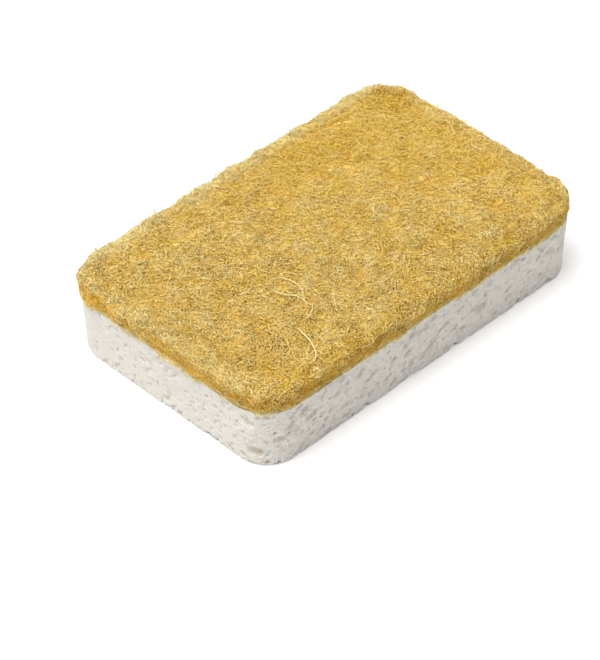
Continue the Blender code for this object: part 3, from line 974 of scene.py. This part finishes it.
class Shader:
    """The node tree of a new material or world."""

    def __init__(self, owner):
        owner.use_nodes = True
        self.owner = owner
        self.tree = owner.node_tree
        self.tree.nodes.clear()

    def node(self, kind, sockets, **settings):
        """Adds a node. Its settings are set first, then its sockets get their values or links."""
        made = self.tree.nodes.new(kind)
        for key, setting in settings.items():
            setattr(made, key, setting)
        for key, value in sockets.items():
            if isinstance(value, Value):
                self.tree.links.new(value.socket, made.inputs[key])
            else:
                made.inputs[key].default_value = value
        return made

    def value(self, node, output):
        """One output of a node."""
        return Value(self, node.outputs[output])

    def maths(self, operation, a, b):
        """One Math node on two values or numbers."""
        return self.value(self.node("ShaderNodeMath", {0: a, 1: b}, operation=operation), 0)

    def between(self, value, low, high):
        """How far a value has come from low to high, smoothly, from 0 to 1."""
        sockets = {"Value": value, "From Min": low, "From Max": high}
        return self.value(self.node("ShaderNodeMapRange", sockets, interpolation_type="SMOOTHSTEP"), "Result")

    def mixed(self, share, a, b):
        """A mix of two colours."""
        return self.value(self.node("ShaderNodeMix", {0: share, 6: a, 7: b}, data_type="RGBA"), 2)

    def ramp(self, value, stops):
        """Reads a colour ramp with these (position, colour) stops at a value."""
        node = self.node("ShaderNodeValToRGB", {"Fac": value})
        elements = node.color_ramp.elements
        while len(elements) < len(stops):
            elements.new(1.0)
        for element, (position, colour) in zip(elements, stops):
            element.position = position
            element.color = opaque(colour)
        return self.value(node, "Color")

    def mark(self, name):
        """A mark that the mesh carries on its points."""
        return self.value(self.node("ShaderNodeAttribute", {}, attribute_name=name), "Fac")

    def coordinates(self):
        """Object coordinates, in metres."""
        return self.value(self.node("ShaderNodeTexCoord", {}), "Object")

    def on_axis(self, axis):
        """A point's place along one of the object's axes, in metres."""
        return self.value(self.node("ShaderNodeSeparateXYZ", {"Vector": self.coordinates()}), axis)

    def place(self, turn=(0.0, 0.0, 0.0), cell=(1.0, 1.0, 1.0)):
        """Object coordinates, turned and then divided by a cell's sizes."""
        sockets = {"Vector": self.coordinates(), "Rotation": turn, "Scale": cell}
        return self.value(self.node("ShaderNodeMapping", sockets, vector_type="TEXTURE"), "Vector")

    def noise(self, place, detail=2.0, distortion=0.0):
        """Noise from 0 to 1 at cells of one unit."""
        sockets = {"Vector": place, "Scale": 1.0, "Detail": detail, "Distortion": distortion}
        return self.value(self.node("ShaderNodeTexNoise", sockets), "Fac")

    def strands(self, turn, length, breadth, thickness):
        """Thin curved lines, 1 on a line and 0 beside it: the middle contour of a stretched noise."""
        noise = self.noise(self.place((0.0, 0.0, turn), (length, breadth, breadth)), 1.0, STRAND_CURVE)
        off = self.maths("ABSOLUTE", noise - 0.5, 0.0)
        return 1 - self.between(off, 0.0, thickness)

    def cells(self, place):
        """The distance to the nearest of the scattered points, one to each unit cell."""
        sockets = {"Vector": place, "Scale": 1.0, "Smoothness": 0.25}
        return self.value(self.node("ShaderNodeTexVoronoi", sockets, feature="SMOOTH_F1"), "Distance")

    def bump(self, height, distance):
        """A normal tilted by a height of that many metres."""
        sockets = {"Height": height, "Distance": distance, "Strength": 1.0}
        return self.value(self.node("ShaderNodeBump", sockets), "Normal")

    def end(self, surface, output="ShaderNodeOutputMaterial"):
        """Ends the tree in a surface node and returns what the tree belongs to."""
        self.node(output, {"Surface": self.value(surface, 0)})
        return self.owner

    def finish(self, sockets):
        """Ends the tree in a Principled BSDF and returns the material."""
        return self.end(self.node("ShaderNodeBsdfPrincipled", sockets))


def opaque(colour):
    """A colour property as four numbers."""
    return (*colour, 1.0)


def foam_material(settings):
    """Cellulose foam: soft white, with painted shade, darker and warmer, deep in its pits and in the hollows
    of its fine slanted cells.
    """
    shader = Shader(bpy.data.materials.new("cellulose_foam"))
    fine = shader.cells(shader.place((0.0, -PORE_SLANT, 0.0), FOAM_CELL))
    grain = shader.noise(shader.place(cell=(FOAM_GRAIN_CELL,) * 3), detail=3.0)
    pits = 1 - shader.between(fine, *PIT_WALLS)
    # Painted shade: the pits darken and warm with their depth
    pit = shader.between(shader.mark("pit"), *PIT_DEPTHS)
    tint = shader.mixed(pit, opaque(settings.colour), opaque(settings.pit_shade_colour))
    from_left = shader.on_axis("X") + LENGTH / 2
    rough = LEFT_ROUGHNESS + (1 - LEFT_ROUGHNESS) * shader.between(from_left, *LEFT_BAND)
    # Painted shade in the hollows of the cells, less on the smoother left wall
    colour = shader.mixed(pits * rough * DENT_SHADE, tint, opaque(settings.dent_shade_colour))
    return shader.finish(
        {
            "Base Color": colour,
            "Roughness": 0.85,
            "Specular IOR Level": 0.25,
            "Subsurface Weight": 0.35,
            "Subsurface Radius": (1.0, 0.95, 0.85),
            "Subsurface Scale": 0.9 * MM,
            "Normal": shader.bump((grain * GRAIN_SHARE - pits) * rough, FOAM_BUMP),
        }
    )


def low_share(shader):
    """How far down the mat's side a point lies, from 0 on top to 1 at half the mat's height and below."""
    return 1 - shader.between(shader.on_axis("Z"), *LOW_BAND)


def seam_share(shader):
    """How near to the seam a point of the mat lies, from 0 well above it to 1 on it."""
    return 1 - shader.between(shader.on_axis("Z"), *SEAM_BAND)


def calm_share(shader):
    """How calm the mat is at a point, from 0 at its near corner to 1 towards its far one."""
    return shader.between(shader.on_axis("X") + shader.on_axis("Y"), *CALM_BAND)


def edge_light_share(shader, ends):
    """How near a point is to the mat's back edge, from 0 to 1, or to a short edge, from 0 to that share:
    where light is painted on the mat's edges.
    """
    past_end = shader.maths("ABSOLUTE", shader.on_axis("X"), 0.0) - LENGTH / 2
    past_back = shader.on_axis("Y") - WIDTH / 2
    near_end = shader.between(past_end, *EDGE_LIGHT_BAND) * ends
    return shader.maths("MAXIMUM", near_end, shader.between(past_back, *EDGE_LIGHT_BAND))


def gaps(shader):
    """Painted shade in small dark gaps between the mat's fibres, crowded in some patches and rare in others.
    """
    crowding = shader.noise(shader.place(cell=(CROWDING_CELL,) * 3))
    noise = shader.noise(shader.place(cell=(GAP_CELL,) * 3), detail=1.0)
    depth = (1 - calm_share(shader) * CALM_GAPS) * (1 - edge_light_share(shader, EDGE_LIGHT_END_GAPS) * EDGE_LIGHT_GAPS)
    return shader.between(noise + (crowding - 0.5) * CROWDING, *GAP_LEVELS) * depth


def mat_body_material(settings):
    """The matted body: fine pale strands at several angles over a darker ground, with painted shade in
    patches of that ground and in the gaps between fibres.
    """
    shader = Shader(bpy.data.materials.new("mat_body"))
    web = 0.0
    for turn, length, breadth in WEB_STRANDS:
        web = shader.maths("MAXIMUM", web, shader.strands(turn, length, breadth, STRAND_BREADTH))
    patches = shader.noise(shader.place(cell=(GROUND_CELL,) * 3), detail=3.0)
    # Painted shade of the gaps, which also darkens patches of the ground
    deep = opaque(settings.gap_shade_colour)
    ground = shader.mixed(shader.between(patches, *GROUND_LEVELS), deep, opaque(settings.body_colour))
    colour = shader.mixed(web * WEB_TINT, ground, opaque(settings.gold_fibre))
    low = low_share(shader)
    colour = shader.mixed(low * SIDE_TINT, colour, opaque(settings.side_colour))
    # Painted shade in the gaps, fainter down the side
    colour = shader.mixed(gaps(shader) * (GAP_SHADE - BODY_GAP_LOSS * low), colour, deep)
    colour = shader.mixed(seam_share(shader) * SEAM_TINT, colour, opaque(settings.straw_fibre))
    return shader.finish(
        {
            "Base Color": colour,
            "Roughness": 0.9,
            "Specular IOR Level": 0.1,
            "Normal": shader.bump(web, WEB_BUMP),
        }
    )


def fibre_material(settings):
    """Plant fibre: each strand has its own tone, deeper in patches of the mat and down its side, with painted
    light along the top's back and end edges and painted shade in the gaps between fibres.
    """
    shader = Shader(bpy.data.materials.new("plant_fibre"))
    patches = shader.noise(shader.place(cell=(PATCH_CELL,) * 3), detail=1.0)
    own = shader.mark("tone")
    low = low_share(shader)
    seam = seam_share(shader)
    on_top = shader.between(shader.on_axis("Z"), *TOP_BAND)
    # Painted light: fibres paler along the back and short edges of the top
    pale = edge_light_share(shader, EDGE_LIGHT_END_TONE) * on_top * EDGE_LIGHT_TONE
    tone = own + (patches - 0.5) * PATCH_TONE + pale + seam - calm_share(shader) * CALM_TONE
    tones = (settings.dark_fibre, settings.ochre_fibre, settings.gold_fibre, settings.straw_fibre)
    strand = shader.ramp(tone, tuple(zip(TONE_STOPS, tones)))
    clean = shader.between(own, *CLEAN_TONES)
    stained = low * (1 - seam) * (STAIN - CLEAN_LOSS * clean)
    colour = shader.mixed(stained, strand, opaque(settings.side_colour))
    # Painted shade in the gaps, left off the palest threads and the seam
    depth = (1 - shader.between(own, *GAPLESS_TONES)) * (1 - seam) * (GAP_SHADE - FIBRE_GAP_LOSS * low)
    colour = shader.mixed(gaps(shader) * depth, colour, opaque(settings.gap_shade_colour))
    return shader.finish({"Base Color": colour, "Roughness": 0.8, "Specular IOR Level": 0.1})


def colour_setting(name, description, default):
    """A colour property."""
    return FloatVectorProperty(
        name=name, description=description, subtype="COLOR", min=0.0, max=1.0, default=default
    )


def length_setting(name, description, default):
    """A length property, in metres."""
    return FloatProperty(name=name, description=description, unit="LENGTH", min=0.0, default=default)


def count_setting(name, description, default):
    """A property that counts from 1 up."""
    return IntProperty(name=name, description=description, min=1, default=default)


def point_setting(name, description, default):
    """A property that holds a point."""
    return FloatVectorProperty(
        name=name, description=description, subtype="TRANSLATION", unit="LENGTH", default=default
    )


class FoamSettings(bpy.types.PropertyGroup):
    """Sizes and colours of the cellulose block."""

    colour: colour_setting("Foam", "Colour of the cut foam", (0.805, 0.775, 0.72))
    # Painted shade deep inside the open pores
    pit_shade_colour: colour_setting("Pits", "Colour deep inside an open pore", (0.68, 0.60, 0.48))
    # Painted shade in the hollows of the surface's shallow cells
    dent_shade_colour: colour_setting("Dents", "Colour of the surface's shallow cells", (0.74, 0.71, 0.65))
    pore_depth: FloatProperty(
        name="Pore depth",
        description="Depth of the open pores against that of the solid's",
        subtype="FACTOR",
        min=0.0,
        max=1.0,
        default=0.62,
    )
    unevenness: length_setting("Unevenness", "How far the cut walls wander in and out", 0.16 * MM)


class MatSettings(bpy.types.PropertyGroup):
    """Sizes, counts and colours of the fibre mat."""

    body_colour: colour_setting("Body", "Colour of the matted body", (0.80, 0.53, 0.05))
    # Painted shade in the gaps between fibres and in patches of the body's ground
    gap_shade_colour: colour_setting("Gaps", "Colour of the gaps between fibres", (0.29, 0.135, 0.003))
    side_colour: colour_setting("Side", "Colour that the mat's cut side shades towards", (1.0, 0.62, 0.08))
    dark_fibre: colour_setting("Darkest fibre", "Colour of the darkest fibres", (0.44, 0.25, 0.02))
    ochre_fibre: colour_setting("Ochre fibre", "Colour a third of the way to the palest", (0.93, 0.64, 0.10))
    gold_fibre: colour_setting("Gold fibre", "Colour two thirds of the way to it", (0.99, 0.76, 0.25))
    straw_fibre: colour_setting("Palest fibre", "Colour of the palest fibres", (1.0, 0.86, 0.42))
    thinnest: length_setting("Thinnest fibre", "Diameter of the thinnest felted fibres", 0.13 * MM)
    thickest: length_setting("Thickest fibre", "Diameter of the thickest felted fibres", 0.19 * MM)
    top_layers: count_setting("Layers", "Pieces that the felted fibres are split into", 4)
    layer_fibres: count_setting("Fibres a layer", "Fibres in each of those pieces", 6500)
    side_fibres: count_setting("Side fibres", "Fibres that lie along the mat's cut side", 3600)
    loose_fibres: count_setting("Threads", "Long thin fibres that arch over the mat's top", 2200)
    rim_fibres: count_setting("Rim fibres", "Short thin fibres that stand out along the mat's edge", 5600)


class StageSettings(bpy.types.PropertyGroup):
    """The camera and the floor."""

    eye: point_setting("Eye", "Where the camera stands", (-0.44654, -0.44731, 0.54639))
    aim: point_setting("Aim", "The point that the camera looks at", (-0.01999, -0.01073, 0.01))
    roll: FloatProperty(
        name="Roll",
        description="How far the camera is turned about its line of sight",
        subtype="ANGLE",
        default=math.radians(-0.585),
    )
    lens: FloatProperty(
        name="Lens",
        description="Focal length on a sensor 36 mm high, in millimetres",
        min=1.0,
        default=185.45,
    )
    floor_size: length_setting("Floor", "Side of the square floor", 6.0)


def build_floor(settings):
    """A white floor: grey where the lamps light it, with a white glow that only the camera sees."""
    half = settings.floor_size / 2
    corners = [(x * half, y * half, FLOOR_LEVEL) for x, y in ((-1, -1), (1, -1), (1, 1), (-1, 1))]
    mesh = bpy.data.meshes.new("floor")
    mesh.from_pydata(corners, [], [(0, 1, 2, 3)])
    floor = bpy.data.objects.new("floor", mesh)
    bpy.context.scene.collection.objects.link(floor)
    shader = Shader(bpy.data.materials.new("floor"))
    seen = shader.value(shader.node("ShaderNodeLightPath", {}), "Is Camera Ray")
    lit = shader.node("ShaderNodeBsdfDiffuse", {"Color": opaque((FLOOR_GREY,) * 3)})
    glow = shader.node("ShaderNodeEmission", {"Color": WHITE, "Strength": seen * FLOOR_GLOW})
    both = shader.node("ShaderNodeAddShader", {0: shader.value(lit, 0), 1: shader.value(glow, 0)})
    mesh.materials.append(shader.end(both))


def build_world():
    """White surroundings: full white to the camera and in reflections, softer as a light."""
    shader = Shader(bpy.data.worlds.new("studio"))
    path = shader.node("ShaderNodeLightPath", {})
    seen = 0.0
    for ray in ("Is Camera Ray", "Is Glossy Ray", "Is Transmission Ray"):
        seen = shader.maths("MAXIMUM", seen, shader.value(path, ray))
    strength = FILL_LIGHT + (1 - FILL_LIGHT) * seen
    background = shader.node("ShaderNodeBackground", {"Color": WHITE, "Strength": strength})
    bpy.context.scene.world = shader.end(background, "ShaderNodeOutputWorld")


def add_lamp(name, place, size, power, colour):
    """A square area lamp that faces the object."""
    lamp = bpy.data.lights.new(name, "AREA")
    lamp.color = colour
    lamp.shape = "SQUARE"
    lamp.size = size
    lamp.energy = power
    holder = bpy.data.objects.new(name, lamp)
    holder.matrix_world = looking(Vector(place), Vector(LAMP_AIM))
    bpy.context.scene.collection.objects.link(holder)


def looking(eye, aim):
    """The placing of a lamp or camera that stands at one point and faces another."""
    return Matrix.Translation(eye) @ (aim - eye).to_track_quat("-Z", "Y").to_matrix().to_4x4()


def build_camera(settings):
    """The camera of the photograph's view."""
    lens = bpy.data.cameras.new("camera")
    lens.sensor_width = SENSOR_SIZE
    lens.lens = settings.lens
    lens.clip_start = CLIP_START
    camera = bpy.data.objects.new("camera", lens)
    facing = looking(Vector(settings.eye), Vector(settings.aim))
    camera.matrix_world = facing @ Matrix.Rotation(settings.roll, 4, "Z")
    bpy.context.scene.collection.objects.link(camera)
    bpy.context.scene.camera = camera


class SPONGE_OT_foam_block(bpy.types.Operator):
    """Builds the cellulose block"""

    bl_idname = "sponge.foam_block"
    bl_label = "Foam block"

    def execute(self, context):
        build_foam_block(context.scene.sponge_foam)
        return {"FINISHED"}


class SPONGE_OT_mat_body(bpy.types.Operator):
    """Builds the matted body of the fibre mat"""

    bl_idname = "sponge.mat_body"
    bl_label = "Mat body"

    def execute(self, context):
        build_mat_body(context.scene.sponge_mat)
        return {"FINISHED"}


class SPONGE_OT_mat_fibres(bpy.types.Operator):
    """Lays the fibres of the mat's top and sides"""

    bl_idname = "sponge.mat_fibres"
    bl_label = "Mat fibres"

    def execute(self, context):
        build_top_fibres(context.scene.sponge_mat)
        build_side_fibres(context.scene.sponge_mat)
        return {"FINISHED"}


class SPONGE_OT_loose_fibres(bpy.types.Operator):
    """Adds the free ends and the long stray fibres of the mat"""

    bl_idname = "sponge.loose_fibres"
    bl_label = "Loose fibres"

    def execute(self, context):
        build_loose_fibres(context.scene.sponge_mat)
        build_stray_fibres(context.scene.sponge_mat)
        return {"FINISHED"}


class SPONGE_OT_stage(bpy.types.Operator):
    """Sets up the floor, the surroundings, the lamps and the camera"""

    bl_idname = "sponge.stage"
    bl_label = "Stage"

    def execute(self, context):
        context.scene.view_settings.view_transform = "Standard"
        build_floor(context.scene.sponge_stage)
        build_world()
        for lamp in LAMPS:
            add_lamp(*lamp)
        build_camera(context.scene.sponge_stage)
        return {"FINISHED"}


class SPONGE_PT_panel(bpy.types.Panel):
    """Lists the steps that build the sponge."""

    bl_idname = "SPONGE_PT_panel"
    bl_label = "Dish sponge"
    bl_space_type = "VIEW_3D"
    bl_region_type = "UI"
    bl_category = "Sponge"

    def draw(self, context):
        for step in STEPS:
            self.layout.operator(step.bl_idname)
        for group in (context.scene.sponge_foam, context.scene.sponge_mat, context.scene.sponge_stage):
            box = self.layout.box()
            for key in group.bl_rna.properties.keys():
                if key not in ("rna_type", "name"):
                    box.prop(group, key)


STEPS = (
    SPONGE_OT_foam_block,
    SPONGE_OT_mat_body,
    SPONGE_OT_mat_fibres,
    SPONGE_OT_loose_fibres,
    SPONGE_OT_stage,
)
GROUPS = {
    "sponge_foam": FoamSettings,
    "sponge_mat": MatSettings,
    "sponge_stage": StageSettings,
}


def register():
    """Registers the settings, the steps and the panel."""
    for kept_as, group in GROUPS.items():
        bpy.utils.register_class(group)
        setattr(bpy.types.Scene, kept_as, PointerProperty(type=group))
    for step in STEPS:
        bpy.utils.register_class(step)
    bpy.utils.register_class(SPONGE_PT_panel)


def unregister():
    """Undoes register, in reverse."""
    bpy.utils.unregister_class(SPONGE_PT_panel)
    for step in reversed(STEPS):
        bpy.utils.unregister_class(step)
    for kept_as, group in GROUPS.items():
        delattr(bpy.types.Scene, kept_as)
        bpy.utils.unregister_class(group)


def main():
    """Builds everything in order."""
    register()
    bpy.ops.sponge.foam_block()
    bpy.ops.sponge.mat_body()
    bpy.ops.sponge.mat_fibres()
    bpy.ops.sponge.loose_fibres()
    bpy.ops.sponge.stage()


if __name__ == "__main__":
    main()
